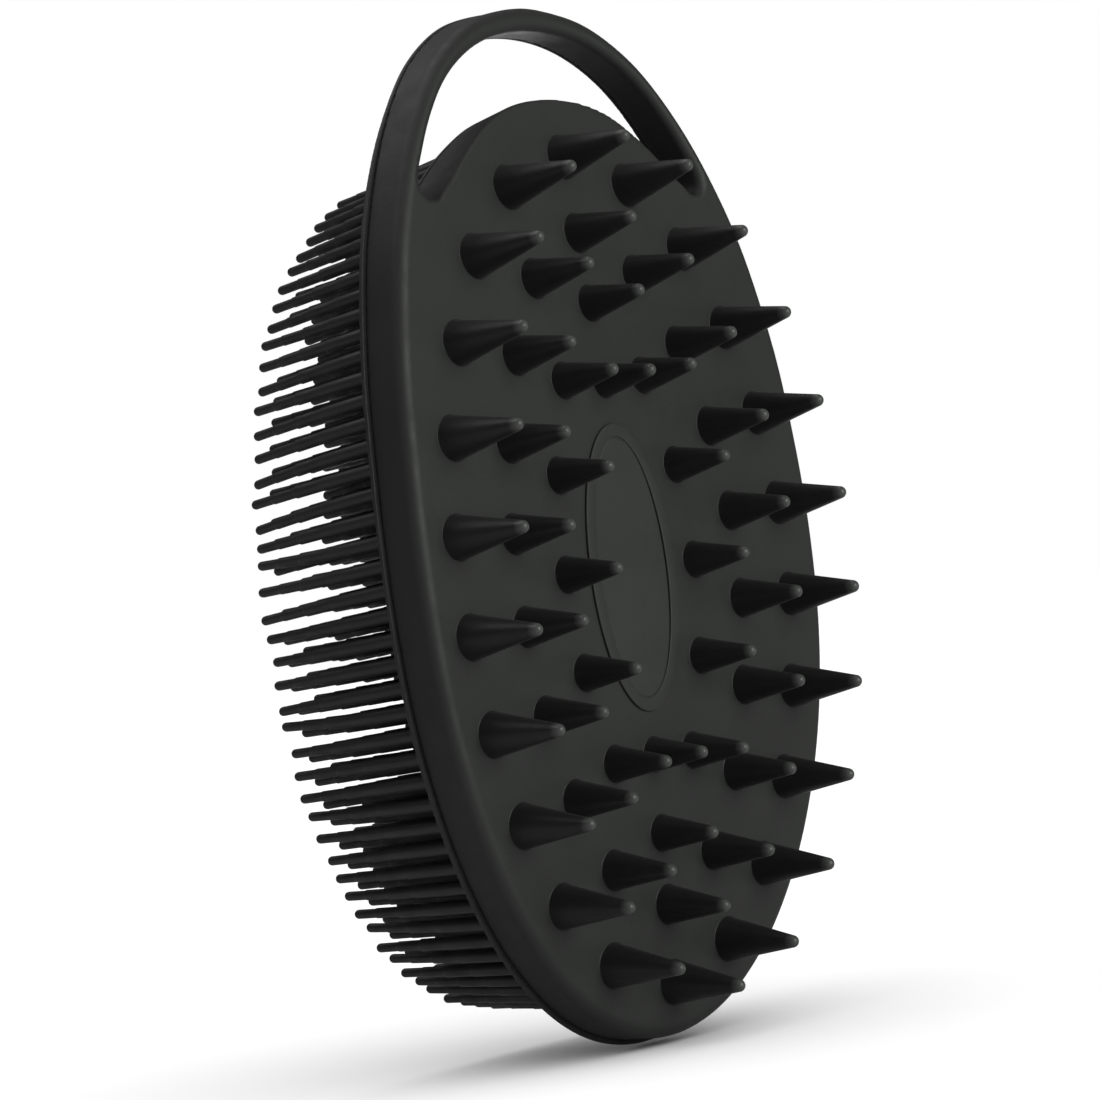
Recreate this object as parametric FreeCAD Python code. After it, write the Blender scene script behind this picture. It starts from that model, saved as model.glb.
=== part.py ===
import FreeCAD, Part
import math
import os

# Rubber curry brush, all silicone. Millimetres.
# Frame: +Z along the length towards the hanging loop, +X across the width, -Y out of the
# cone side (front), +Y out of the bristle side (back). The origin is the centre of the
# flat oval panel. "Plan" is the view along Y; plan points are (x, z).

V = FreeCAD.Vector
ORIGIN = V(0, 0, 0)
X_AXIS = V(1, 0, 0)
Z_AXIS = V(0, 0, 1)

# ---- overall shape
ARCH_R = 595.0            # the face is flat across X and curves back along Z on this radius
DEPTH = 5.6               # front moulding, face to back
LIP_T = 0.6               # thickness of the rear plate and of its lip
BACK = DEPTH + LIP_T      # from the face to the back of the rear plate
HALF_W = 37.8             # half width of the side wall
HEEL_Z = 57.8             # from the origin down to the heel
HEEL_STEP = 15            # degrees between outline points round the heel
# side wall above the middle, right half, from the widest part to the loop's crown
CROWN_PTS = [
    (37.7, 8.6), (37.2, 16.4), (36.3, 25.0), (34.95, 32.0), (32.85, 40.1),
    (29.95, 47.35), (26.67, 53.64), (23.0, 58.94), (19.29, 63.05), (15.21, 66.15),
    (10.19, 68.67), (5.1, 69.9), (0.0, 70.42)]
EDGE_R = 1.6              # rounding of the outer front edge
GAP_EDGE_R = 0.6          # rounding of the front edge round the opening

# ---- lip
LIP_OUT = 0.6             # how far it stands out past the side wall
LIP_CROWN = 0.12          # and how far at the crown
LIP_FADE_Z = (44.0, 62.0)  # it narrows along the loop between these heights
LIP_POINTS = 96           # points in its outline

# ---- opening of the loop, right half
GAP_TOP_PTS = [
    (0.0, 67.4), (5.55, 66.9), (9.98, 65.7), (14.4, 63.55), (18.37, 60.58),
    (21.35, 57.3), (23.65, 54.05), (25.4, 51.1), (26.55, 48.4)]
GAP_END_PTS = [(26.3, 47.0), (25.2, 46.15), (24.1, 46.3)]  # round the closed end
# body's side: (x, z, how far the wall leans towards the body by the back)
GAP_LOW_PTS = [
    (23.3, 47.0, 0.0), (21.6, 48.4, 0.0), (20.0, 49.85, 0.15), (17.1, 52.4, 0.5),
    (14.0, 54.7, 0.85), (10.85, 56.55, 1.05), (6.5, 58.0, 1.05), (0.0, 58.65, 1.0)]
GAP_FRONT_Y = 2.64        # y where that wall starts to lean; it is BACK deep
GAP_TOOL_Y = (1.5, 10.5)  # ends of the tool that cuts the opening
# plan box that holds the middles of all the edges round the opening
GAP_ZONE_X = 27.2
GAP_ZONE_Z = (45.5, 67.8)
ON_FACE = 0.01            # tolerance for an edge to count as lying in the face

# ---- split between body and loop, right half
SPLIT_X = 25.2            # the split line starts here, at a height given by each piece
SPLIT_PTS = [
    (24.9, 49.2), (23.0, 52.9), (20.2, 56.2), (16.5, 58.9), (12.5, 61.0),
    (8.0, 62.4), (4.0, 63.0), (-1.0, 63.1)]
SPLIT_FAR_X, SPLIT_FAR_Z = 50, 80  # beyond the outline

# ---- flexing root of the loop
ROOT_Z = 47.6             # height of the flex axis, which runs along X
ROOT_R = 2.5              # radius of the rounded root
ROOT_GAP = 0.10           # clearance round the root
ROOT_X = 26.6             # inner side of the root pocket
ROOT_LENGTH = 20          # reaches out past the side wall
BODY_TOP_Z = ROOT_Z - 1.3  # where the body stops, below the axis
LOOP_LIP_Z = ROOT_Z + 1.5  # where the loop's lip starts, above the axis

# ---- oval panel and ring
PANEL_HALF_W, PANEL_HALF_H, PANEL_T = 6.45, 16.1, 0.5
PANEL_CUT_Y = -5.0        # front end of the cut for the panel
OVAL_RING_W, OVAL_RING_H = 1.75, 0.33

# ---- cones: length to the tip ball's centre, base radius, (x, z) of the first quadrant
CONE_TIP_R = 0.78
CONE_LEAN = 0.00178       # lean away from the middle, per mm of z
CONE_SINK = 1.0           # depth of a cone below the face before it is trimmed
CONES = {
    "outer_cones": (10.04, 2.79, [(0, 51.2), (11.24, 47.52), (19.7, 39.18), (25.49, 28.83),
                                  (29.16, 17.59), (30.94, 5.9)]),
    "middle_cones": (8.63, 2.49, [(0, 41.63), (9.68, 36.17), (15.58, 26.93), (19.25, 16.47),
                                  (20.92, 5.57)]),
    "inner_cones": (7.78, 2.30, [(0, 32.83), (7.57, 23.48), (11.24, 12.02), (12.35, 0)]),
    "end_cones": (7.39, 2.18, [(0, 23.15)]),
}

# ---- bristles: rings that follow the rim, and a straight row in the middle
RING_HALF_W, RING_HALF_H = 36.4, 53.84  # of the outermost ring
RING_Z = 0.88             # middle of the rings
RING_POWER = 2.107        # 2 is an ellipse; more is a little squarer
RING_STEP = 3.0           # from one ring in to the next
RING_SAMPLES = 4000       # steps used to measure along a ring
BRISTLE_PITCH = 2.95
RING_PITCHES = [2.89, 3.0] + [BRISTLE_PITCH] * 10  # from the outermost ring inwards
# sections from the root to the tip: (radius, height where it ends); the tip is a half ball
BRISTLE_STEPS = [(0.835, 9.95), (0.775, 14.4), (0.65, 18.2), (0.575, 21.8)]
BRISTLE_LEAN = 0.054      # lean of every bristle towards the heel
BRISTLE_LEAN_Z = 0.00098  # lean towards the middle, per mm of z
BRISTLE_LEAN_Z3 = 2.3e-7  # and per mm of z cubed
BRISTLE_SINK = 0.25       # depth of a root before it is trimmed on the plate


# ---- helpers
def arch(z):
    """y of the front face at the height z."""
    return ARCH_R - math.sqrt(ARCH_R * ARCH_R - z * z)


def prism(wire, y_from=-20.0, y_to=45.0):
    """Solid between two heights in Y, with this wire (drawn at y = 0) as its plan."""
    face = Part.Face([wire])
    face.translate(V(0, y_from, 0))
    return face.extrude(V(0, y_to - y_from, 0))


def arch_cylinder(offset):
    """Everything behind the face moved back by offset, as a cylinder along X."""
    return Part.makeCylinder(ARCH_R - offset, 100, V(-50, ARCH_R, 0), X_AXIS)


def slab(front, back):
    """Curved layer between the face moved back by front and by back."""
    ring = arch_cylinder(front).cut(arch_cylinder(back))
    return ring.common(Part.makeBox(100, 60, 200, V(-50, -20, -100)))


def spline_edge(points, closed=False):
    """Smooth curve in the plan through these (x, z)."""
    curve = Part.BSplineCurve()
    vectors = [V(x, 0, z) for x, z in points]
    if closed:
        curve.interpolate(vectors, PeriodicFlag=True)
    else:
        curve.interpolate(vectors)
    return curve


def mirrored(points):
    """Points on the other side of x = 0, in the reverse order."""
    return [(-x, z) for x, z in reversed(points)]


def both_sides(half):
    """A half and its mirror image, as one solid."""
    return half.fuse(half.mirror(ORIGIN, X_AXIS)).Solids[0]


def ellipse_wire(half_width, half_height):
    """Upright ellipse in the plan, taller than it is wide."""
    ellipse = Part.Ellipse(V(0, 0, half_height), V(half_width, 0, 0), ORIGIN)
    return Part.Wire([ellipse.toShape()])


def placed(shape, position, direction):
    """Copy of a shape drawn along +Z, moved to the position and turned to the direction."""
    copy = shape.copy()
    copy.Placement = FreeCAD.Placement(position, FreeCAD.Rotation(Z_AXIS, direction))
    return copy


def revolved(lines, arc_from, arc_mid, arc_to):
    """Solid of revolution about Z: line edges, then the tip's arc, then back down the axis."""
    edges = lines + [Part.Arc(arc_from, arc_mid, arc_to).toShape()]
    edges.append(Part.makeLine(arc_to, lines[0].Vertexes[0].Point))
    return Part.Face(Part.Wire(edges)).revolve(ORIGIN, Z_AXIS, 360)


# ---- plan curves
def side_wall_curve():
    heel = [(HALF_W * math.cos(math.radians(angle)), HEEL_Z * math.sin(math.radians(angle)))
            for angle in range(0, -181, -HEEL_STEP)]
    crown = CROWN_PTS[::-1]
    return spline_edge(crown + heel + mirrored(crown[1:]), closed=True)


def lip_wire(outline):
    """The side wall's outline moved outwards, by less towards the crown."""
    fade_from, fade_to = LIP_FADE_Z
    first, last = outline.FirstParameter, outline.LastParameter
    points = []
    for i in range(LIP_POINTS):
        at = first + (last - first) * i / LIP_POINTS
        point, tangent = outline.value(at), outline.tangent(at)[0]
        normal = V(tangent.z, 0, -tangent.x)
        if normal.dot(point) < 0:
            normal = normal * -1
        normal.normalize()
        fade = min(1.0, max(0.0, (point.z - fade_from) / (fade_to - fade_from)))
        out = LIP_OUT + (LIP_CROWN - LIP_OUT) * fade * fade * (3 - 2 * fade)
        points.append((point.x + normal.x * out, point.z + normal.z * out))
    return Part.Wire([spline_edge(points, closed=True).toShape()])


def gap_low_points(y):
    """The body's side of the opening where the leaning wall passes the height y."""
    share = (y - GAP_FRONT_Y) / BACK
    last = len(GAP_LOW_PTS) - 1
    points = []
    for i, (x, z, lean) in enumerate(GAP_LOW_PTS):
        before, after = GAP_LOW_PTS[max(i - 1, 0)], GAP_LOW_PTS[min(i + 1, last)]
        # the last point is on the middle line, so its normal is straight up
        normal = V(after[1] - before[1], 0, before[0] - after[0]) if i < last else V(0, 0, 1)
        normal.normalize()
        points.append((x - normal.x * lean * share, z - normal.z * lean * share))
    return points


def gap_wire(y):
    """Outline of the opening at the height y."""
    low = gap_low_points(y)
    end = [GAP_TOP_PTS[-1]] + GAP_END_PTS + [low[0]]
    runs = [mirrored(GAP_TOP_PTS[1:]) + GAP_TOP_PTS, end, low + mirrored(low[:-1]),
            mirrored(end)]
    wire = Part.Wire(Part.__sortEdges__([spline_edge(run).toShape() for run in runs]))
    wire.translate(V(0, y, 0))
    return wire


# ---- body and loop
def front_edges(shape, outer):
    """Edges in the front face: those of the outer rim, or those round the opening."""
    found = []
    for edge in shape.Edges:
        first, last = edge.FirstParameter, edge.LastParameter
        points = [edge.valueAt(first + (last - first) * i / 8.0) for i in range(9)]
        if not all(abs(point.y - arch(point.z)) < ON_FACE for point in points):
            continue
        middle = points[4]
        near_gap = abs(middle.x) < GAP_ZONE_X and GAP_ZONE_Z[0] < middle.z < GAP_ZONE_Z[1]
        if near_gap != outer:
            found.append(edge)
    return found


def moulding_half(outline, gap_tool, right_side):
    """Right half of the front moulding, body and loop still in one plate."""
    wall = Part.Wire([outline.toShape()])
    plate = prism(wall).cut(gap_tool).common(slab(0.0, DEPTH)).Solids[0]
    plate = plate.makeFillet(EDGE_R, front_edges(plate, outer=True))
    plate = plate.makeFillet(GAP_EDGE_R, front_edges(plate, outer=False))
    return plate.common(right_side).Solids[0]


def loop_region(z_from):
    """Everything on the loop's side of the split, right half, above z_from."""
    points = [(SPLIT_X, z_from)] + SPLIT_PTS
    points += [(SPLIT_PTS[-1][0], SPLIT_FAR_Z), (SPLIT_FAR_X, SPLIT_FAR_Z),
               (SPLIT_FAR_X, z_from)]
    return prism(Part.makePolygon([V(x, 0, z) for x, z in points + points[:1]]))


def root_cylinder(radius, x_from):
    root_y = arch(ROOT_Z) + DEPTH / 2.0
    return Part.makeCylinder(radius, ROOT_LENGTH, V(x_from, root_y, ROOT_Z), X_AXIS)


def make_front_shell(plate, panel_wire):
    pocket = loop_region(BODY_TOP_Z).fuse(root_cylinder(ROOT_R + ROOT_GAP, ROOT_X))
    shell = both_sides(plate.cut(pocket).Solids[0])
    return shell.cut(prism(panel_wire, PANEL_CUT_Y, PANEL_T)).Solids[0]


def make_loop_handle(plate):
    region = loop_region(ROOT_Z).fuse(root_cylinder(ROOT_R, ROOT_X + ROOT_GAP))
    return both_sides(plate.common(region).Solids[0])


def make_oval_ring(panel_wire):
    """Raised ring round the panel."""
    rim = ellipse_wire(PANEL_HALF_W + OVAL_RING_W, PANEL_HALF_H + OVAL_RING_W)
    return prism(rim).cut(prism(panel_wire)).common(slab(-OVAL_RING_H, 0.0)).Solids[0]


# ---- cones
def cone_solid(length, base_r):
    """Cone along +Z from below the face to its ball tip, which the flank nearly touches."""
    angle = math.radians(90) - math.asin((base_r - CONE_TIP_R) / length)

    def on_ball(turn):
        return V(CONE_TIP_R * math.sin(turn), 0, length + CONE_TIP_R * math.cos(turn))

    flank_top = on_ball(angle)
    slope = (flank_top.x - base_r) / flank_top.z
    foot = V(base_r - slope * CONE_SINK, 0, -CONE_SINK)
    lines = [Part.makeLine(V(0, 0, -CONE_SINK), foot), Part.makeLine(foot, flank_top)]
    return revolved(lines, flank_top, on_ball(angle / 2.0), V(0, 0, length + CONE_TIP_R))


def quadrants(points):
    """The points of the first quadrant and their mirror images, with none twice."""
    return [(side * x, end * z) for x, z in points
            for side in ((1, -1) if x else (1,))
            for end in ((1, -1) if z else (1,))]


def make_cones(length, base_r, points, behind_face):
    cone = cone_solid(length, base_r)
    solids = []
    for x, z in quadrants(points):
        lean = V(0, -1, CONE_LEAN * z)
        solids.append(placed(cone, V(x, arch(z), z), lean).cut(behind_face).Solids[0])
    return Part.makeCompound(solids)


# ---- bristles
def bristle_solid():
    """Stepped bristle along +Z."""
    tip_r, tip_z = BRISTLE_STEPS[-1]
    profile = [V(0, 0, -BRISTLE_SINK), V(BRISTLE_STEPS[0][0], 0, -BRISTLE_SINK)]
    for (radius, top), (next_radius, _) in zip(BRISTLE_STEPS, BRISTLE_STEPS[1:]):
        profile += [V(radius, 0, top), V(next_radius, 0, top)]
    profile.append(V(tip_r, 0, tip_z - tip_r))
    lines = [Part.makeLine(a, b) for a, b in zip(profile, profile[1:])]
    eighth = math.pi / 4
    arc_mid = V(tip_r * math.sin(eighth), 0, tip_z - tip_r + tip_r * math.cos(eighth))
    return revolved(lines, profile[-1], arc_mid, V(0, 0, tip_z))


def squared(value):
    return math.copysign(abs(value) ** (2.0 / RING_POWER), value)


def ring_points(inset, pitch, phase):
    """Points evenly spaced round a slightly squared ellipse, symmetric left to right."""
    fine = []
    for k in range(RING_SAMPLES + 1):
        angle = 2 * math.pi * k / RING_SAMPLES
        fine.append(((RING_HALF_W - inset) * squared(math.sin(angle)),
                     (RING_HALF_H - inset) * squared(math.cos(angle)) + RING_Z))
    travel = [0.0]
    for (x0, z0), (x1, z1) in zip(fine, fine[1:]):
        travel.append(travel[-1] + math.hypot(x1 - x0, z1 - z0))
    count = int(round(travel[-1] / pitch))
    points, k = [], 0
    for i in range(count):
        target = travel[-1] * (i + phase) / count
        while travel[k + 1] < target:
            k += 1
        share = (target - travel[k]) / (travel[k + 1] - travel[k])
        (x0, z0), (x1, z1) = fine[k], fine[k + 1]
        points.append((x0 + share * (x1 - x0), z0 + share * (z1 - z0)))
    return points


def bristle_spots():
    """Piece name to the (x, z) of its bristles; every second ring starts half a pitch on."""
    spots = {}
    for i, pitch in enumerate(RING_PITCHES):
        phase = 0.5 if i % 2 else 0.0
        spots["bristle_ring_%02d" % (i + 1)] = ring_points(RING_STEP * i, pitch, phase)
    row_half = RING_HALF_H - RING_STEP * len(RING_PITCHES)
    count = int(2 * row_half / BRISTLE_PITCH)
    spots["bristle_row_centre"] = [
        (0.0, RING_Z + (k - (count - 1) / 2.0) * BRISTLE_PITCH) for k in range(count)]
    return spots


def make_bristles(bristle, points, rear_layer):
    solids = []
    for x, z in points:
        lean = BRISTLE_LEAN + BRISTLE_LEAN_Z * z + BRISTLE_LEAN_Z3 * z ** 3
        solids.append(placed(bristle, V(x, arch(z) + BACK, z), V(0, 1, -lean)))
    return Part.makeCompound(Part.makeCompound(solids).cut(rear_layer).Solids)


# ---- build and export
outline = side_wall_curve()
gap_tool = Part.makeLoft([gap_wire(y) for y in GAP_TOOL_Y], True, True)
right_side = Part.makeBox(60, 80, 200, V(0, -30, -100))
rear_layer = slab(DEPTH, BACK)
panel_wire = ellipse_wire(PANEL_HALF_W, PANEL_HALF_H)

plate = moulding_half(outline, gap_tool, right_side)
rear = prism(lip_wire(outline)).cut(gap_tool).common(rear_layer).common(right_side).Solids[0]
pieces = {
    "front_shell": make_front_shell(plate, panel_wire),
    "loop_handle": make_loop_handle(plate),
    "oval_ring": make_oval_ring(panel_wire),
    "label_panel": prism(panel_wire, 0.0, PANEL_T),
    "bristle_pad": both_sides(rear.cut(loop_region(BODY_TOP_Z)).Solids[0]),
    "loop_lip": both_sides(rear.common(loop_region(LOOP_LIP_Z)).Solids[0]),
}

behind_face = arch_cylinder(0.0).common(Part.makeBox(100, 20, 160, V(-50, -2, -80)))
for name, (length, base_r, points) in CONES.items():
    pieces[name] = make_cones(length, base_r, points, behind_face)

bristle = bristle_solid()
for name, points in bristle_spots().items():
    pieces[name] = make_bristles(bristle, points, rear_layer)

os.makedirs("parts", exist_ok=True)
for name, shape in pieces.items():
    shape.exportStep("parts/%s.step" % name)
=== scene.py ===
# A silicone brush: an oval plate, bent about X, whose top end (+Z) is a loop round an opening.
# X is the width and Z the length. Ball-tipped cones and an oval label panel are on the front (-Y),
# stepped bristles on the back (+Y). Both ends of the plate bend back towards +Y.
# Piece dimensions are in mm; the scene, with its stage, is in metres.
import math

import bpy
import numpy as np
from mathutils import Matrix, Vector


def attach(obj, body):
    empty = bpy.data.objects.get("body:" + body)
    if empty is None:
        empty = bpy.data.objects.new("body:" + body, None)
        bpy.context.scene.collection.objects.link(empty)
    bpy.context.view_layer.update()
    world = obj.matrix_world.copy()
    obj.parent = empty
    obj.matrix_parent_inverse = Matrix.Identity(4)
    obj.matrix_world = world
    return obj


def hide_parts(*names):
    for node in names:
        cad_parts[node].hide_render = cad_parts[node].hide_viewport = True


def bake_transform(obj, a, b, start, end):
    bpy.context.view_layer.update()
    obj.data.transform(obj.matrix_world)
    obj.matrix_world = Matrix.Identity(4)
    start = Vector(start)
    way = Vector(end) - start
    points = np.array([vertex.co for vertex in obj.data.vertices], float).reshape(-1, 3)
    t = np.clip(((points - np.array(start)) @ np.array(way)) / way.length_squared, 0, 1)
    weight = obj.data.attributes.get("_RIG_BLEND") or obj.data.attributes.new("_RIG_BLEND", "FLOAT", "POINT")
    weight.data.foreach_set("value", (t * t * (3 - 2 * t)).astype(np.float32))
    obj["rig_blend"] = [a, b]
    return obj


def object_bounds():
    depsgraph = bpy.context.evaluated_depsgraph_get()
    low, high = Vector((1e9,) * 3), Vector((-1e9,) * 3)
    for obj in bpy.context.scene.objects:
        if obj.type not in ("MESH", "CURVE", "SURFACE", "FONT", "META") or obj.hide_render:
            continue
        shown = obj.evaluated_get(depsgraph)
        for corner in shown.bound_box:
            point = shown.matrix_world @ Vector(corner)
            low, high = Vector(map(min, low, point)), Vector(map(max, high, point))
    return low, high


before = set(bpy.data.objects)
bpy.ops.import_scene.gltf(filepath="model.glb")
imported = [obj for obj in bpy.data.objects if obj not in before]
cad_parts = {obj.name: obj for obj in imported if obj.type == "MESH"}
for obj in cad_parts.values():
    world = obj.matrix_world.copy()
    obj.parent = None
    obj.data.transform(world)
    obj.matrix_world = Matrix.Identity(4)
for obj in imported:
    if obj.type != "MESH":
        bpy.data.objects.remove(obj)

CAD_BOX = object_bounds()
MM = 0.001

# ------------------------------------------------------------------ plate and opening, mm
ARCH_RADIUS = 595.0
DEPTH = 5.6                 # front body, front to back
LIP_DEPTH = 0.6             # rear plate, front to back
BACK_Y = DEPTH + LIP_DEPTH
LIP_OUT = 0.6               # how far the rear plate stands out round the body
LIP_OUT_CROWN = 0.12        # and round the top of the loop
LIP_FADE_Z = (44.0, 62.0)   # heights between which the one changes to the other
HALF_WIDTH, HEEL_Z = 37.8, 57.8     # half axes of the bottom half ellipse

# Outlines are (x, z) points of the +X half.
CROWN = [(37.7, 8.6), (37.2, 16.4), (36.3, 25.0), (34.95, 32.0), (32.85, 40.1), (29.95, 47.35),
         (26.67, 53.64), (23.0, 58.94), (19.29, 63.05), (15.21, 66.15), (10.19, 68.67), (5.1, 69.9),
         (0.0, 70.42)]
GAP_TOP = [(0.0, 67.4), (5.55, 66.9), (9.98, 65.7), (14.4, 63.55), (18.37, 60.58), (21.35, 57.3),
           (23.65, 54.05), (25.4, 51.1), (26.55, 48.4)]
GAP_END = [(26.3, 47.0), (25.2, 46.15), (24.1, 46.3)]
GAP_LOW = [(23.3, 47.0), (21.6, 48.4), (20.0, 49.85), (17.1, 52.4), (14.0, 54.7), (10.85, 56.55),
           (6.5, 58.0), (0.0, 58.65)]
GAP_LEAN = [0.0, 0.0, 0.15, 0.5, 0.85, 1.05, 1.05, 1.0]     # shift of each GAP_LOW point
GAP_LEAN_Y = (2.64, 8.84)   # bent y where the lean starts and where it is full
# Middle line of the opening and its ends, (|x|, z); the loop's band is above it.
MID_LINE = np.array([(60, 45.9), (25.4, 45.9), (24.9, 49.2), (23.0, 52.9), (20.2, 56.2),
                     (16.5, 58.9), (12.5, 61.0), (8.0, 62.4), (0.0, 63.1)])
ROOT_Z = 47.6
BLEND_Z = (ROOT_Z - 1.5, ROOT_Z + 12.0)     # heights between which the band turns into loop

# ------------------------------------------------------------------ parts on the faces, mm
PANEL_HALF_X, PANEL_HALF_Z = 6.45, 16.1
BAND_WIDTH, BAND_HEIGHT = 1.75, 0.33        # raised oval ring round the panel

CONE_TIP_RADIUS = 0.78
CONE_LEAN = 0.00178         # slope of a cone's axis per mm of z
CONES = {                   # length, base radius, (x, z) places in one quadrant
    "outer_cones": (10.04, 2.79, [(0, 51.2), (11.24, 47.52), (19.7, 39.18), (25.49, 28.83),
                                  (29.16, 17.59), (30.94, 5.9)]),
    "middle_cones": (8.63, 2.49, [(0, 41.63), (9.68, 36.17), (15.58, 26.93), (19.25, 16.47),
                                  (20.92, 5.57)]),
    "inner_cones": (7.78, 2.30, [(0, 32.83), (7.57, 23.48), (11.24, 12.02), (12.35, 0)]),
    "end_cones": (7.39, 2.18, [(0, 23.15)]),
}

RING_HALF_X, RING_HALF_Z = 36.4, 53.84      # outermost bristle ring
RING_CENTRE_Z = 0.88
RING_STEP, RING_COUNT = 3.0, 12
RING_POWER = 2.107          # superellipse exponent; 2 is a plain ellipse
PITCH = 2.95
OUTER_PITCHES = (2.89, 3.0)                 # pitches of the two outermost rings
BRISTLE_STEPS = [(0.835, 9.95), (0.775, 14.4), (0.65, 18.2), (0.575, 21.8)]     # radius, top
LEAN_CONSTANT, LEAN_LINEAR, LEAN_CUBIC = 0.054, 0.00098, 2.3e-7     # axis slope as powers of z
# Set of the outermost bristles along the brush: z of the root, z shift of the tip.
BRISTLE_SET = np.array([(-60, 0.0), (-22, 0.4), (-13.5, 0.5), (-8, 0.1), (0.9, 0.12), (6.7, 0.5),
                        (9.5, 0.0), (12.4, -0.95), (15.3, -0.65), (20.9, -0.55), (26.5, -0.3),
                        (35, -0.2), (60, 0.0)])


def arch(z):
    """How far back the bent face lies at height z."""
    return ARCH_RADIUS - np.sqrt(ARCH_RADIUS ** 2 - np.asarray(z, float) ** 2)


def smoothstep(value):
    value = np.clip(value, 0, 1)
    return value * value * (3 - 2 * value)


# ------------------------------------------------------------------ objects
def add_object(name, data):
    item = bpy.data.objects.new(name, data)
    bpy.context.scene.collection.objects.link(item)
    return item


def make_object(name, points, faces, set_smooth=True):
    """Mesh object from points in mm and a list of face arrays, one per face size."""
    mesh = bpy.data.meshes.new(name)
    mesh.vertices.add(len(points))
    mesh.vertices.foreach_set("co", (np.asarray(points, float) * MM).astype(np.float32).ravel())
    loops = np.concatenate([block.astype(np.int32).ravel() for block in faces])
    sizes = np.concatenate([np.full(len(block), block.shape[1], np.int32) for block in faces])
    starts = np.concatenate([[0], np.cumsum(sizes)[:-1]]).astype(np.int32)
    mesh.loops.add(len(loops))
    mesh.loops.foreach_set("vertex_index", loops)
    mesh.polygons.add(len(sizes))
    mesh.polygons.foreach_set("loop_start", starts)
    mesh.polygons.foreach_set("loop_total", sizes)
    mesh.update(calc_edges=True)
    mesh.validate()
    if set_smooth:
        mesh.polygons.foreach_set("use_smooth", np.ones(len(sizes), bool))
    return add_object(name, mesh)


def dress(piece, material, slot, *replaced):
    """Gives a piece its material, and hides the CAD pieces it stands for. slot is not used."""
    piece.data.materials.append(material)
    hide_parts(*replaced)


# ------------------------------------------------------------------ outlines
def closed_spline(points, count):
    """Closed cubic curve through points, chord-length spacing, count samples."""
    knots = np.array(points, float)
    size = len(knots)
    chord = np.linalg.norm(np.roll(knots, -1, 0) - knots, axis=1)
    system = np.zeros((size, size))
    right_side = np.zeros((size, 2))
    for i in range(size):
        j = (i + 1) % size
        system[i, i - 1] += chord[i - 1]
        system[i, i] += 2 * (chord[i - 1] + chord[i])
        system[i, j] += chord[i]
        right_side[i] = 6 * ((knots[j] - knots[i]) / chord[i]
                             - (knots[i] - knots[i - 1]) / chord[i - 1])
    second = np.linalg.solve(system, right_side)
    travel = np.concatenate([[0], np.cumsum(chord)])
    samples = np.linspace(0, travel[-1], count, endpoint=False)
    i = np.clip(np.searchsorted(travel, samples, "right") - 1, 0, size - 1)
    j = (i + 1) % size
    span = chord[i][:, None]
    done = (samples - travel[i])[:, None]
    left = span - done
    return ((second[i] * left ** 3 + second[j] * done ** 3) / (6 * span)
            + (knots[i] / span - second[i] * span / 6) * left
            + (knots[j] / span - second[j] * span / 6) * done)


def wall_outline():
    heel = [(HALF_WIDTH * math.cos(math.radians(angle)), HEEL_Z * math.sin(math.radians(angle)))
            for angle in range(0, -181, -15)]
    return closed_spline(CROWN[::-1] + heel + [(-x, z) for x, z in CROWN[:-1]], 720)


def gap_outline(share):
    """The opening's outline, whose lower side is shifted by GAP_LEAN times share."""
    low = []
    last = len(GAP_LOW) - 1
    for k, ((x, z), lean) in enumerate(zip(GAP_LOW, GAP_LEAN)):
        before, after = GAP_LOW[max(k - 1, 0)], GAP_LOW[min(k + 1, last)]
        normal = np.array([0.0, 1.0])
        if k < last:
            normal = np.array([after[1] - before[1], before[0] - after[0]])
            # GAP_LOW runs towards x = 0, so this normal points up into the opening
        normal = normal / np.linalg.norm(normal)
        low.append((x - normal[0] * lean * share, z - normal[1] * lean * share))
    half = GAP_TOP + GAP_END + low
    return closed_spline(half + [(-x, z) for x, z in reversed(half[1:-1])], 520)


def lip_outline(wall):
    """The wall outline moved outwards by the lip, less so round the crown."""
    tangent = np.roll(wall, -1, 0) - np.roll(wall, 1, 0)
    tangent /= np.linalg.norm(tangent, axis=1)[:, None]
    normal = np.stack([tangent[:, 1], -tangent[:, 0]], 1)
    normal *= np.sign((normal * wall).sum(1))[:, None]
    fade = smoothstep((wall[:, 1] - LIP_FADE_Z[0]) / (LIP_FADE_Z[1] - LIP_FADE_Z[0]))
    return wall + normal * (LIP_OUT + (LIP_OUT_CROWN - LIP_OUT) * fade)[:, None]


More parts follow.
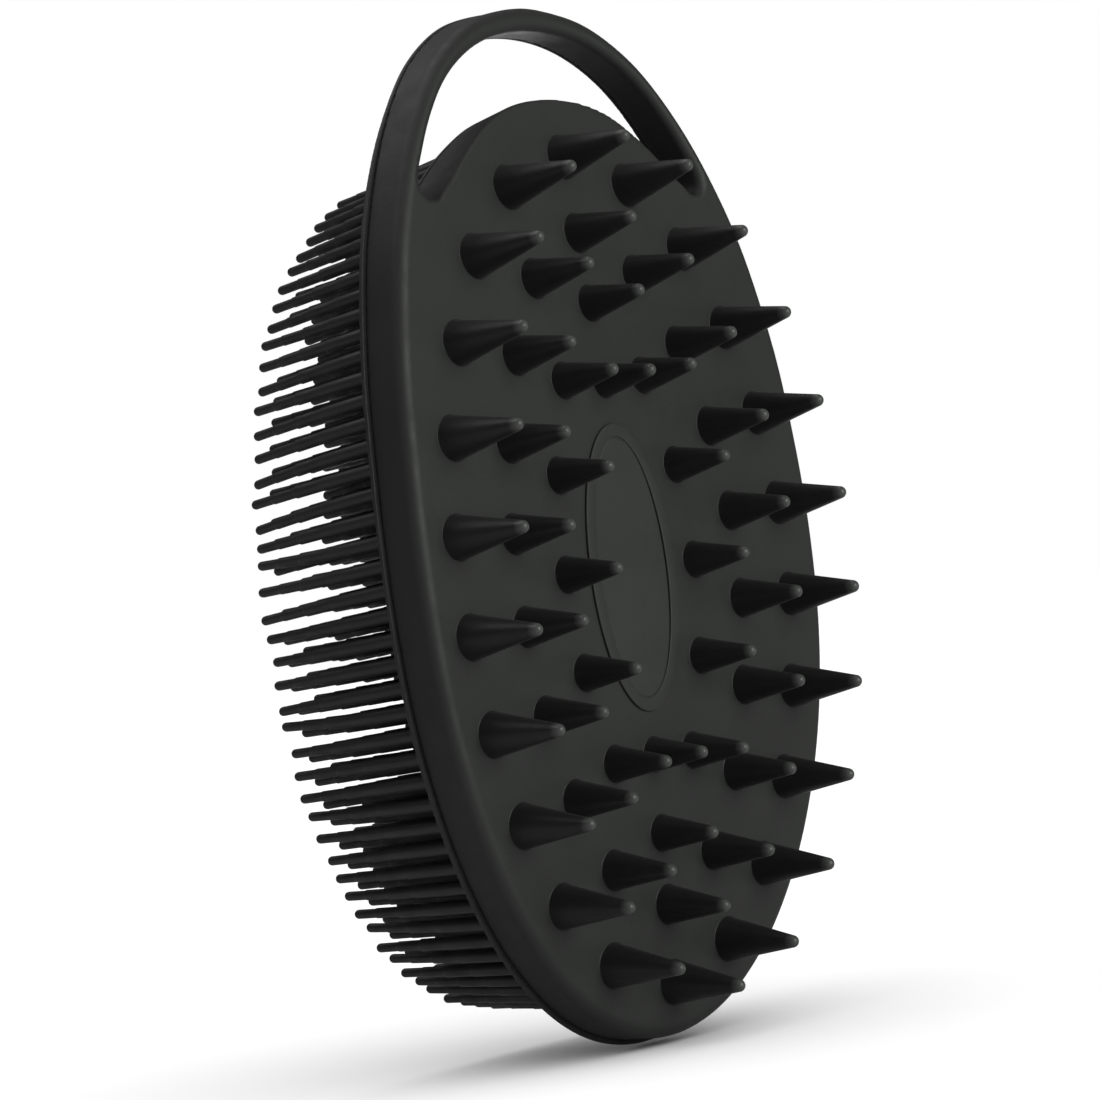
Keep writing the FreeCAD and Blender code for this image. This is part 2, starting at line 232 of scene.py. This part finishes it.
def outline_distance(outline, points):
    """Signed distance (inside negative) and outward direction from a closed polygon."""
    start = outline
    end = np.roll(start, -1, 0)
    if np.sum(start[:, 0] * end[:, 1] - end[:, 0] * start[:, 1]) < 0:
        start = start[::-1].copy()
        end = np.roll(start, -1, 0)
    edge = end - start
    edge_sq = (edge ** 2).sum(1)
    # the nearest of every fourth corner, then the edges around it
    every = 4
    coarse = start[::every]
    coarse_sq = (coarse ** 2).sum(1)
    window = np.arange(-6, 7)
    batch = 20000
    distance, direction = np.empty(len(points)), np.empty((len(points), 2))
    for k in range(0, len(points), batch):
        some = points[k:k + batch]
        first = (coarse_sq[None] - 2 * some @ coarse.T).argmin(1) * every
        near = (first[:, None] + window[None]) % len(start)
        offset = some[:, None] - start[near]
        along = np.clip((offset * edge[near]).sum(2) / edge_sq[near], 0, 1)
        away = offset - along[..., None] * edge[near]
        away_sq = (away ** 2).sum(2)
        best = away_sq.argmin(1)
        row = np.arange(len(some))
        hit = near[row, best]
        turn = edge[hit, 0] * offset[row, best, 1] - edge[hit, 1] * offset[row, best, 0]
        sign = np.where(turn > 0, -1.0, 1.0)
        gap = np.sqrt(away_sq[row, best])
        normal = np.stack([edge[hit, 1], -edge[hit, 0]], 1) / np.sqrt(edge_sq[hit])[:, None]
        outward = away[row, best] * sign[:, None] / np.maximum(gap, 1e-9)[:, None]
        direction[k:k + batch] = np.where(gap[:, None] > 1e-6, outward, normal)
        distance[k:k + batch] = gap * sign
    return distance, direction


WALL = wall_outline()
GAP_FRONT, GAP_BACK = gap_outline(0.0), gap_outline(1.0)


# ------------------------------------------------------------------ plates as distance fields
def rounded(distance, direction, y, y_front, y_back, front_radius, back_radius):
    """Distance and gradient of a plate between y_front and y_back with rounded edges."""
    front = y < (y_front + y_back) / 2
    radius = np.where(front, front_radius, back_radius)
    side = np.where(front, -1.0, 1.0)
    across = distance + radius
    along = np.where(front, y_front - y, y - y_back) + radius
    corner_sq = np.maximum(across, 0) ** 2 + np.maximum(along, 0) ** 2
    root = np.sqrt(np.maximum(corner_sq, 1e-18))
    value = np.minimum(np.maximum(across, along), 0) + root * (corner_sq > 0) - radius
    both = (across > 0) & (along > 0)
    slope = np.where(both, across / root, (across >= along) * 1.0)
    slope_y = np.where(both, along / root, (across < along) * 1.0)
    return value, np.stack([slope * direction[:, 0], slope_y * side, slope * direction[:, 1]], 1)


def over_mid(x, z):
    """Height over the middle line of the opening."""
    return z - np.interp(np.abs(x), MID_LINE[::-1, 0], MID_LINE[::-1, 1])


class Plate:
    """A bent plate drawn flat: outline polygon, y range and edge roundings.

    The opening's front edge is rounded by band_radius on the loop, body_radius below it."""

    def __init__(self, outline, y_front, y_back, wall_radius, band_radius, body_radius,
                 back_radius):
        self.outline, self.y_front, self.y_back = outline, y_front, y_back
        self.wall_radius, self.back_radius = wall_radius, back_radius
        self.band_radius, self.body_radius = band_radius, body_radius

    def plan(self, places):
        """What depends on (x, z) alone."""
        share = smoothstep((over_mid(places[:, 0], places[:, 1]) + 1.5) / 3.5)
        gap_radius = self.body_radius + (self.band_radius - self.body_radius) * share
        return (outline_distance(self.outline, places) + outline_distance(GAP_FRONT, places)
                + outline_distance(GAP_BACK, places)
                + (gap_radius, arch(np.clip(places[:, 1], -80, 80))))

    def at(self, plan, y):
        """Distance and gradient at depth y over the planned places."""
        wall, wall_dir, front, front_dir, back, back_dir, gap_radius, rise = plan
        lean = (y + rise - GAP_LEAN_Y[0]) / (GAP_LEAN_Y[1] - GAP_LEAN_Y[0])
        lean = np.clip(lean, -0.2, 1.2)
        gap = front + (back - front) * lean
        gap_dir = front_dir + (back_dir - front_dir) * lean[:, None]
        gap_dir = gap_dir / np.maximum(np.linalg.norm(gap_dir, axis=1), 1e-6)[:, None]
        outer, outer_slope = rounded(wall, wall_dir, y, self.y_front, self.y_back,
                                     self.wall_radius, self.back_radius)
        inner, inner_slope = rounded(-gap, -gap_dir, y, self.y_front, self.y_back,
                                     gap_radius, self.back_radius)
        first = outer > inner
        return np.where(first, outer, inner), np.where(first[:, None], outer_slope, inner_slope)

    def __call__(self, points):
        return self.at(self.plan(points[:, [0, 2]]), points[:, 1])


def surface_net(low, high, steps, field):
    """Closed quad mesh of field = 0, moved on to it exactly: points, quads, normals."""
    counts = [int(math.ceil((high[k] - low[k]) / steps[k])) + 1 for k in range(3)]
    axes = [low[k] + steps[k] * np.arange(counts[k]) for k in range(3)]
    grid_x, grid_z = np.meshgrid(axes[0], axes[2], indexing="ij")
    plan = field.plan(np.stack([grid_x.ravel(), grid_z.ravel()], 1))
    values = np.empty(counts, np.float32)
    for j, y in enumerate(axes[1]):
        values[:, j, :] = field.at(plan, np.full(grid_x.size, y))[0].reshape(grid_x.shape)

    # one point per cell that the surface crosses: the mean of its edge crossings
    shape = [k - 1 for k in counts]
    total = np.zeros(shape + [3], np.float32)
    crossings = np.zeros(shape, np.float32)

    def at_corner(corner):
        return values[tuple(slice(corner[k], corner[k] + shape[k]) for k in range(3))]

    for corner in [(i, j, k) for i in (0, 1) for j in (0, 1) for k in (0, 1)]:
        for axis in range(3):
            if corner[axis]:
                continue
            other = list(corner)
            other[axis] = 1
            start, end = at_corner(corner), at_corner(other)
            cross = (start < 0) != (end < 0)
            share = np.where(cross, start / np.where(cross, start - end, 1), 0)
            for k in range(3):
                total[..., k] += cross * (corner[k] + (share if k == axis else 0))
            crossings += cross
    live = crossings > 0
    index = np.full(shape, -1, np.int64)
    index[live] = np.arange(live.sum())
    points = np.argwhere(live) + total[live] / crossings[live][:, None]
    points = points * np.array(steps) + np.array(low)

    # one quad round each grid edge that crosses the surface
    inside = values < 0
    quads = []
    for axis in range(3):
        side_a, side_b = [k for k in range(3) if k != axis]
        near, far = [slice(1, -1)] * 3, [slice(1, -1)] * 3
        near[axis], far[axis] = slice(0, -1), slice(1, None)
        start, end = inside[tuple(near)], inside[tuple(far)]
        for flip in (False, True):
            edges = np.argwhere(~start & end if flip else start & ~end)
            around = []
            for i, j in ((1, 1), (0, 1), (0, 0), (1, 0)):
                cell = edges.copy()
                cell[:, side_a] += i
                cell[:, side_b] += j
                around.append(index[tuple(cell.T)])
            quad = np.stack(around, 1)
            quads.append(quad[:, ::-1] if flip != (axis == 1) else quad)

    for _ in range(4):
        value, slope = field(points)
        points = points - np.clip(value, -0.3, 0.3)[:, None] * slope
    return points, np.concatenate(quads), field(points)[1]


# ------------------------------------------------------------------ materials
def clear_tree(owner):
    owner.use_nodes = True
    owner.node_tree.nodes.clear()
    return owner.node_tree


def add_node(tree, kind, inputs=None, **settings):
    """Adds a shader node. An input given as a socket is linked, any other is a value."""
    node = tree.nodes.new("ShaderNode" + kind)
    for key, value in settings.items():
        setattr(node, key, value)
    for key, value in (inputs or {}).items():
        if isinstance(value, bpy.types.NodeSocket):
            tree.links.new(value, node.inputs[key])
        else:
            node.inputs[key].default_value = value
    return node


def remap(tree, value, source, target):
    """Maps the source range of value to the target range."""
    return add_node(tree, "MapRange", {
        "Value": value, "From Min": source[0], "From Max": source[1],
        "To Min": target[0], "To Max": target[1]}).outputs["Result"]


def silicone(name, base, rough, grain=0.35, tip=None):
    """Moulded matte silicone: fine grain, faint cloudiness, faint lint.

    tip is a lighter colour painted on the ball ends as a highlight, where the mesh has a "tip" attribute;
    there the roughness is lowered too."""
    mottling = 0.10         # cloudiness, as a share of the base colour
    rough_spread = 0.06
    ripple = 0.8            # weight of the slower ripple under the grain
    tip_polish = -0.12      # change of roughness at the tips
    material = bpy.data.materials.new(name)
    tree = clear_tree(material)
    place = add_node(tree, "TexCoord").outputs["Object"]
    cloud = add_node(tree, "TexNoise", {"Vector": place, "Scale": 55, "Detail": 4})
    fine = add_node(tree, "TexNoise", {"Vector": place, "Scale": 2600, "Detail": 3,
                                       "Roughness": 0.6})
    medium = add_node(tree, "TexNoise", {"Vector": place, "Scale": 420, "Detail": 2})

    # cloudy base colour
    vary = remap(tree, cloud.outputs["Fac"], (0.3, 0.7), (1 - mottling, 1 + mottling))
    cloudy = add_node(tree, "VectorMath", {0: base, "Scale": vary}, operation="SCALE")
    # lint: rare pale specks
    lint = add_node(tree, "TexVoronoi", {"Vector": place, "Scale": 700})
    speck = remap(tree, lint.outputs["Distance"], (0.0, 0.07), (0.25, 0.0))
    colour = add_node(tree, "Mix", {"Factor": speck, "A": cloudy.outputs["Vector"],
                                    "B": (0.11, 0.11, 0.11, 1)}, data_type="RGBA")
    roughness = remap(tree, medium.outputs["Fac"], (0.25, 0.75),
                      (rough - rough_spread, rough + rough_spread))
    # painted highlight: a lighter colour mixed in on the ball ends by the "tip" attribute, with lower
    # roughness
    if tip is not None:
        ends = add_node(tree, "Attribute", attribute_name="tip").outputs["Fac"]
        colour = add_node(tree, "Mix", {"Factor": ends, "A": colour.outputs["Result"],
                                        "B": (*tip, 1)}, data_type="RGBA")
        roughness = add_node(tree, "Math", {0: ends, 1: tip_polish, 2: roughness},
                             operation="MULTIPLY_ADD").outputs["Value"]

    height = add_node(tree, "Math", {0: medium.outputs["Fac"], 1: ripple, 2: fine.outputs["Fac"]},
                      operation="MULTIPLY_ADD")
    bump = add_node(tree, "Bump", {"Height": height.outputs["Value"], "Strength": grain,
                                   "Distance": 0.00006})
    surface = add_node(tree, "BsdfPrincipled", {
        "Base Color": colour.outputs["Result"], "Roughness": roughness,
        "Normal": bump.outputs["Normal"], "IOR": 1.42, "Specular IOR Level": 0.5,
        "Sheen Weight": 0.04, "Sheen Roughness": 0.4})
    add_node(tree, "OutputMaterial", {"Surface": surface.outputs["BSDF"]})
    return material


FRONT = silicone("front_silicone", base=(0.0235, 0.0252, 0.0235), rough=0.56)
# a lighter copy of the face silicone: painted light, the open panel catching more light than the face
# between the cones
PANEL = silicone("panel_silicone", base=(0.0325, 0.0348, 0.0325), rough=0.54)
RING = silicone("ring_silicone", base=(0.0285, 0.0306, 0.0285), rough=0.55)
# the cones are a darker copy of the face silicone, painted shade on their sides; their tip colour is a
# painted highlight
CONE = silicone("cone_silicone", base=(0.013, 0.0135, 0.013), rough=0.46, grain=0.25,
                tip=(0.075, 0.079, 0.075))
REAR = silicone("rear_silicone", base=(0.027, 0.028, 0.027), rough=0.50)
BRISTLE = silicone("bristle_silicone", base=(0.026, 0.027, 0.026), rough=0.47, grain=0.25)


# ------------------------------------------------------------------ body and rear plate
def bend(points):
    bent = points.copy()
    bent[:, 1] += arch(bent[:, 2])
    return bent


def bend_normals(points, normals):
    """Normals of a flat-drawn mesh after the arch is added to y."""
    slope = points[:, 2] / np.sqrt(ARCH_RADIUS ** 2 - points[:, 2] ** 2)
    bent = normals.copy()
    bent[:, 2] -= slope * normals[:, 1]
    return bent / np.linalg.norm(bent, axis=1)[:, None]


def weigh_loop(piece, points):
    """Blends the mesh between the two bodies; only the band's points follow the loop."""
    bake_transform(piece, "brush_body", "loop", start=(0, 0, BLEND_Z[0] * MM),
             end=(0, 0, BLEND_Z[1] * MM))
    data = piece.data.attributes["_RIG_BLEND"].data
    weights = np.zeros(len(points), np.float32)
    data.foreach_get("value", weights)
    weights[over_mid(points[:, 0], points[:, 2]) <= 0] = 0
    data.foreach_set("value", weights)


def build_plate(name, field, low, high, step_y, material, slot, replaced):
    step = 0.45
    points, quads, normals = surface_net(low, high, (step, step_y, step), field)
    piece = make_object(name, bend(points), [quads])
    piece.data.normals_split_custom_set_from_vertices(
        [tuple(normal) for normal in bend_normals(points, normals)])
    dress(piece, material, slot, *replaced)
    weigh_loop(piece, points)


build_plate("body_and_loop",
            Plate(WALL, y_front=0.0, y_back=DEPTH, wall_radius=1.6, band_radius=1.3,
                  body_radius=0.35, back_radius=0.25),
            low=(-39.4, -1.01, -59.4), high=(39.4, 6.7, 71.9), step_y=0.4,
            material=FRONT, slot="front_silicone", replaced=("front_shell", "loop_handle"))
build_plate("rear_plate_and_lip",
            Plate(lip_outline(WALL), y_front=DEPTH, y_back=BACK_Y, wall_radius=0.15,
                  band_radius=0.1, body_radius=0.1, back_radius=0.24),
            low=(-40.2, 5.1, -60.2), high=(40.2, 6.7, 72.5), step_y=0.14,
            material=REAR, slot="rear_silicone", replaced=("bristle_pad", "loop_lip"))


# ------------------------------------------------------------------ lathe pieces
def circle_angles(segments):
    return 2 * np.pi * np.arange(segments) / segments


def frame_to(axis):
    """Columns are an orthonormal frame whose third axis is axis."""
    axis = axis / np.linalg.norm(axis)
    side = np.cross([1.0, 0, 0], axis)
    side /= np.linalg.norm(side)
    return np.stack([np.cross(side, axis), side, axis], 1)


def lathe_rings(radii, spine, segments, frame, origin):
    """Circles of the given radii round the spine's points, placed by frame and origin."""
    angle = circle_angles(segments)
    circle = np.stack([np.cos(angle), np.sin(angle), np.zeros(segments)], 1)
    rings = radii[:, None, None] * circle[None] + spine[:, None]
    return rings.reshape(-1, 3) @ frame.T + origin


def lathe_faces(rings, segments):
    """Quads between rings, and fans to a first and a last point."""
    k = np.arange(segments)
    after = (k + 1) % segments
    quads = []
    for ring in range(rings - 1):
        low, high = 1 + ring * segments, 1 + (ring + 1) * segments
        quads.append(np.stack([low + k, low + after, high + after, high + k], 1))
    last = 1 + (rings - 1) * segments
    end = np.full(segments, last + segments)
    tris = [np.stack([np.zeros(segments, int), 1 + after, 1 + k], 1),
            np.stack([last + k, last + after, end], 1)]
    return np.concatenate(quads), np.concatenate(tris)


def make_lathes(name, lathes, rings, segments):
    """One object of many lathes, each an array of first point, rings and last point."""
    faces = [np.concatenate([block + k * (rings * segments + 2) for k in range(len(lathes))])
             for block in lathe_faces(rings, segments)]
    return make_object(name + "_skin", np.concatenate(lathes), faces)


# ------------------------------------------------------------------ cones
def quadrants(points):
    """The points mirrored into all four quadrants, without doubles on the axes."""
    return [(sign_x * x, sign_z * z) for x, z in points
            for sign_x in ((1, -1) if x else (1,)) for sign_z in ((1, -1) if z else (1,))]


def cone_profile(length, base_radius):
    """(radius, height) from the flare on the face to the ball tip."""
    ball_angle = math.pi / 2 - math.asin((base_radius - CONE_TIP_RADIUS) / length)
    neck_radius = CONE_TIP_RADIUS * math.sin(ball_angle)
    neck_height = length + CONE_TIP_RADIUS * math.cos(ball_angle)
    taper = math.atan((base_radius - neck_radius) / neck_height)
    flare = 0.12
    flare_centre = base_radius - flare * math.tan(taper) + flare / math.cos(taper)
    profile = []
    for k in range(9):
        angle = -math.pi / 2 - (math.pi / 2 - taper) * k / 8
        profile.append((flare_centre + flare * math.cos(angle), flare + flare * math.sin(angle)))
    foot_radius, foot_height = profile[-1]
    for k in range(1, 12):
        share = k / 12
        profile.append((foot_radius + (neck_radius - foot_radius) * share,
                        foot_height + (neck_height - foot_height) * share))
    for k in range(10):
        angle = ball_angle * (1 - k / 10)
        profile.append((CONE_TIP_RADIUS * math.sin(angle),
                        length + CONE_TIP_RADIUS * math.cos(angle)))
    return np.array(profile)


def build_cones(name, length, base_radius, points):
    segments = 40
    radii, heights = cone_profile(length, base_radius).T
    spine = np.stack([0 * heights, 0 * heights, heights], 1)
    skirt, second = slice(0, segments), slice(segments, 2 * segments)
    lathes = []
    for x, z in quadrants(points):
        frame = frame_to(np.array([0.0, -1.0, CONE_LEAN * z]))
        origin = np.array([x, arch(z), z])
        rings = lathe_rings(radii, spine, segments, frame, origin)
        # the skirt lies just under the curved face, the next ring on it or in front of it
        rings[skirt, 1] = arch(rings[skirt, 2]) + 0.035
        rings[second, 1] = np.minimum(rings[second, 1], arch(rings[second, 2]))
        bottom = origin + np.array([0, 0.4, 0])
        tip = origin + frame @ np.array([0, 0, length + CONE_TIP_RADIUS])
        lathes.append(np.concatenate([bottom[None], rings, tip[None]]))
    piece = make_lathes(name, lathes, len(radii), segments)
    # share of the painted tip highlight, rising over the ball end
    ball = np.repeat(smoothstep((heights - (length - 0.55)) / 0.6), segments)
    ball = np.tile(np.concatenate([[0], ball, [1]]), len(lathes))
    tip_highlight_data = piece.data.attributes.new("tip", "FLOAT", "POINT").data
    tip_highlight_data.foreach_set("value", ball.astype(np.float32))
    dress(piece, CONE, "cone_silicone", name)
    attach(piece, "brush_body")


for name, (length, base_radius, points) in CONES.items():
    build_cones(name, length, base_radius, points)


# ------------------------------------------------------------------ bristles
def ring_spots(half_x, half_z, pitch, phase):
    """Evenly spaced (x, z) places on a superellipse; phase is a share of the pitch."""
    samples = 4000
    angle = 2 * np.pi * np.arange(samples + 1) / samples

    def squared(value):
        return np.sign(value) * np.abs(value) ** (2 / RING_POWER)

    curve = np.stack([half_x * squared(np.sin(angle)),
                      half_z * squared(np.cos(angle)) + RING_CENTRE_Z], 1)
    chords = np.linalg.norm(np.diff(curve, axis=0), axis=1)
    travel = np.concatenate([[0], np.cumsum(chords)])
    count = int(round(travel[-1] / pitch))
    stops = travel[-1] * (np.arange(count) + phase) / count
    return [(np.interp(stop, travel, curve[:, 0]), np.interp(stop, travel, curve[:, 1]))
            for stop in stops]


def bristle_profile():
    """(radius, height) from the flared root over the steps to the round end."""
    root = BRISTLE_STEPS[0][0]
    low = 0.4
    profile = [(root + 0.28, -0.05), (root + 0.12, 0.06), (root + 0.03, 0.2), (root, low)]
    for (radius, top), (above, _) in zip(BRISTLE_STEPS, BRISTLE_STEPS[1:]):
        profile += [(radius, (low + top) / 2), (radius, top - 0.10), (radius - 0.03, top - 0.02),
                    (above + 0.02, top + 0.02), (above, top + 0.10)]
        low = top + 0.1
    radius, top = BRISTLE_STEPS[-1]
    profile += [(radius, (low + top - radius) / 2), (radius, top - radius)]
    for k in range(1, 5):
        angle = k * math.pi / 10
        profile.append((radius * math.cos(angle), top - radius + radius * math.sin(angle)))
    return np.array(profile)


rng = np.random.RandomState(11)
BRISTLE_RADII, BRISTLE_HEIGHTS = bristle_profile().T
BRISTLE_TOP = BRISTLE_STEPS[-1][1]


def build_bristles(name, spots, segments, has_set):
    bow = (BRISTLE_HEIGHTS / BRISTLE_TOP) ** 2
    lathes = []
    for x, z in spots:
        lean = LEAN_CONSTANT + LEAN_LINEAR * z + LEAN_CUBIC * z ** 3
        frame = frame_to(np.array([0.0, 1.0, -lean]))
        origin = np.array([x, arch(z) + BACK_Y, z])
        sway = np.clip(rng.normal(0, 0.22, 2), -0.45, 0.45)
        if has_set:
            sway[1] += np.interp(z, BRISTLE_SET[:, 0], BRISTLE_SET[:, 1])
        stretch = 1 + np.clip(rng.normal(0, 0.004), -0.01, 0.01)
        spine = np.stack([sway[0] * bow, sway[1] * bow, BRISTLE_HEIGHTS * stretch], 1)
        rings = lathe_rings(BRISTLE_RADII, spine, segments, frame, origin)
        bottom = origin - frame @ np.array([0, 0, 0.3])
        tip = origin + frame @ np.array([sway[0], sway[1], BRISTLE_TOP * stretch])
        lathes.append(np.concatenate([bottom[None], rings, tip[None]]))
    piece = make_lathes(name, lathes, len(BRISTLE_RADII), segments)
    dress(piece, BRISTLE, "bristle_silicone", name)
    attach(piece, "brush_body")


for i in range(RING_COUNT):
    spots = ring_spots(RING_HALF_X - RING_STEP * i, RING_HALF_Z - RING_STEP * i,
                       pitch=OUTER_PITCHES[i] if i < len(OUTER_PITCHES) else PITCH,
                       phase=0.5 if i % 2 else 0.0)
    build_bristles("bristle_ring_%02d" % (i + 1), spots, 20 if i < 2 else 14, has_set=i == 0)

row_count = int(2 * (RING_HALF_Z - RING_STEP * RING_COUNT) / PITCH)
row = [(0.0, RING_CENTRE_Z + (k - (row_count - 1) / 2.0) * PITCH) for k in range(row_count)]
build_bristles("bristle_row_centre", row, 14, has_set=False)


# ------------------------------------------------------------------ oval panel and raised ring
def build_panel():
    """Flat oval sheet just in front of the face, with a rim running back into the body."""
    rings, segments = 22, 160
    front_y, back_y = -0.02, 0.45
    overlap = 0.3           # reach under the raised ring
    half_x, half_z = PANEL_HALF_X + overlap, PANEL_HALF_Z + overlap
    angle = circle_angles(segments)

    def oval(share, y):
        return np.stack([half_x * share * np.cos(angle), np.full(segments, y),
                         half_z * share * np.sin(angle)], 1)

    points = [[[0, front_y, 0]]] + [oval(k / rings, front_y) for k in range(1, rings + 1)]
    points += [oval(1, back_y), [[0, back_y, 0]]]
    faces = [block[:, ::-1] for block in lathe_faces(rings + 1, segments)]
    panel = make_object("label_panel_skin", np.concatenate(points), faces, set_smooth=False)
    dress(panel, PANEL, "panel_silicone", "label_panel")
    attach(panel, "brush_body")


def build_oval_ring():
    segments = 320
    edge = 0.13             # rounding of the two front edges
    root_y = 0.35
    edge_y = -BAND_HEIGHT + edge
    # profile: (distance out from the panel's oval, y from the face)
    profile = [(0.0, root_y), (0.0, edge_y)]
    for k in range(1, 5):
        turn = math.pi - k * math.pi / 8
        profile.append((edge + edge * math.cos(turn), edge_y - edge * math.sin(turn)))
    for k in range(1, 6):
        profile.append((edge + (BAND_WIDTH - 2 * edge) * k / 6,
                        -BAND_HEIGHT - 0.03 * math.sin(math.pi * k / 6)))
    for k in range(5):
        turn = math.pi / 2 - k * math.pi / 8
        profile.append((BAND_WIDTH - edge + edge * math.cos(turn), edge_y - edge * math.sin(turn)))
    profile.append((BAND_WIDTH, root_y))

    count = len(profile)
    angle = circle_angles(segments)
    points = np.zeros((segments, count, 3))
    for k, (out, y) in enumerate(profile):
        x = (PANEL_HALF_X + out) * np.cos(angle)
        z = (PANEL_HALF_Z + out) * np.sin(angle)
        points[:, k] = np.stack([x, arch(z) + y, z], 1)
    here = np.arange(segments) * count
    after = np.roll(here, -1)
    quads = []
    for k in range(count):
        j = (k + 1) % count
        quads.append(np.stack([here + k, here + j, after + j, after + k], 1))
    ring = make_object("oval_ring_skin", points.reshape(-1, 3), [np.concatenate(quads)])
    dress(ring, RING, "front_silicone", "oval_ring")
    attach(ring, "brush_body")


build_panel()
build_oval_ring()


# ------------------------------------------------------------------ stage, metres
def floor_material():
    """Near-white with a faint grain to the camera; throws only a little light back."""
    material = bpy.data.materials.new("floor_white")
    tree = clear_tree(material)
    grain = add_node(tree, "TexNoise", {"Scale": 900})
    bump = add_node(tree, "Bump", {"Height": grain.outputs["Fac"], "Strength": 0.05,
                                   "Distance": 0.0001})
    pale = add_node(tree, "BsdfDiffuse", {"Color": (0.9, 0.9, 0.9, 1),
                                          "Normal": bump.outputs["Normal"]})
    dim = add_node(tree, "BsdfDiffuse", {"Color": (0.30, 0.30, 0.30, 1)})
    camera_switch(tree, "OutputMaterial", pale.outputs["BSDF"], dim.outputs["BSDF"])
    return material


def camera_switch(tree, output, seen, unseen):
    """Shows seen to the camera and unseen to every other ray."""
    path = add_node(tree, "LightPath")
    mix = add_node(tree, "MixShader", {"Fac": path.outputs["Is Camera Ray"], 1: unseen, 2: seen})
    add_node(tree, output, {"Surface": mix.outputs["Shader"]})


def build_world():
    """White to the camera, a weak white light to everything else."""
    world = bpy.data.worlds.new("studio")
    bpy.context.scene.world = world
    tree = clear_tree(world)
    seen, unseen = [
        add_node(tree, "Background", {"Color": (1, 1, 1, 1), "Strength": strength})
        for strength in (1.0, 0.05)]
    camera_switch(tree, "OutputWorld", seen.outputs["Background"], unseen.outputs["Background"])


FLOOR_DROP = 0.0003         # gap between the floor and the lowest point
bpy.ops.mesh.primitive_circle_add(vertices=96, radius=6.0, fill_type="NGON",
                                  location=(0, 0, CAD_BOX[0].z - FLOOR_DROP))
floor = bpy.context.object
floor.name = "floor"
floor.data.materials.append(floor_material())
build_world()

# the floor and the brush are lit separately
only_floor = bpy.data.collections.new("floor_only")
only_floor.objects.link(floor)
not_floor = bpy.data.collections.new("all_but_floor")
not_floor.objects.link(floor)
not_floor.collection_objects[0].light_linking.link_state = "EXCLUDE"


def brush_light(name, position, size, power, colour, target=(0, 0, 0)):
    light = bpy.data.lights.new(name, "AREA")
    light.shape = "RECTANGLE"
    light.size, light.size_y = size
    light.energy = power
    light.color = colour
    lamp = add_object(name, light)
    lamp.location = position
    aim = Vector(target) - Vector(position)
    lamp.rotation_euler = aim.to_track_quat("-Z", "Y").to_euler()
    lamp.light_linking.receiver_collection = not_floor
    lamp.visible_camera = False


def floor_sun(name, power, spread, tilt, turn):
    """Sun on the floor alone; spread and tilt in degrees, turn in radians."""
    light = bpy.data.lights.new(name, "SUN")
    light.energy = power
    light.angle = math.radians(spread)
    lamp = add_object(name, light)
    lamp.rotation_euler = (math.radians(tilt), 0, -turn)
    lamp.light_linking.receiver_collection = only_floor


brush_light("key", position=(0.06, -0.83, 0.20), size=(0.6, 0.6), power=5.3,
            colour=(0.97, 1.0, 0.965))
brush_light("top", position=(-0.14, 0.20, 0.74), size=(0.8, 0.8), power=3.1,
            colour=(1.0, 0.955, 0.985))
brush_light("fill", position=(-1.0, -0.45, 0.0), size=(1.3, 1.3), power=0.46,
            colour=(1.0, 0.97, 1.0))
brush_light("rim", position=(0.36, 0.31, -0.02), size=(0.20, 0.07), power=0.16,
            colour=(1.0, 1.0, 1.0), target=(0, 0, 0.065))
floor_sun("floor_wash", power=2.5, spread=170, tilt=0, turn=0)
floor_sun("floor_shade", power=1.6, spread=95, tilt=33, turn=0.5)


def build_camera():
    lens = bpy.data.cameras.new("camera")
    lens.sensor_width = 36.0
    lens.lens = 138.8795
    lens.clip_start, lens.clip_end = 0.01, 20
    camera = add_object("camera", lens)
    rotation = Matrix(((0.6455915, 0.0747613, -0.7600147),
                       (-0.7517509, -0.1130220, -0.6496896),
                       (-0.1344701, 0.9907758, -0.0167642)))
    position = (-0.4020465, -0.3309148, -0.0053116)
    camera.matrix_world = Matrix.Translation(position) @ rotation.to_4x4()
    bpy.context.scene.camera = camera


build_camera()
bpy.context.scene.view_settings.view_transform = "Standard"
bpy.context.scene.view_settings.look = "None"
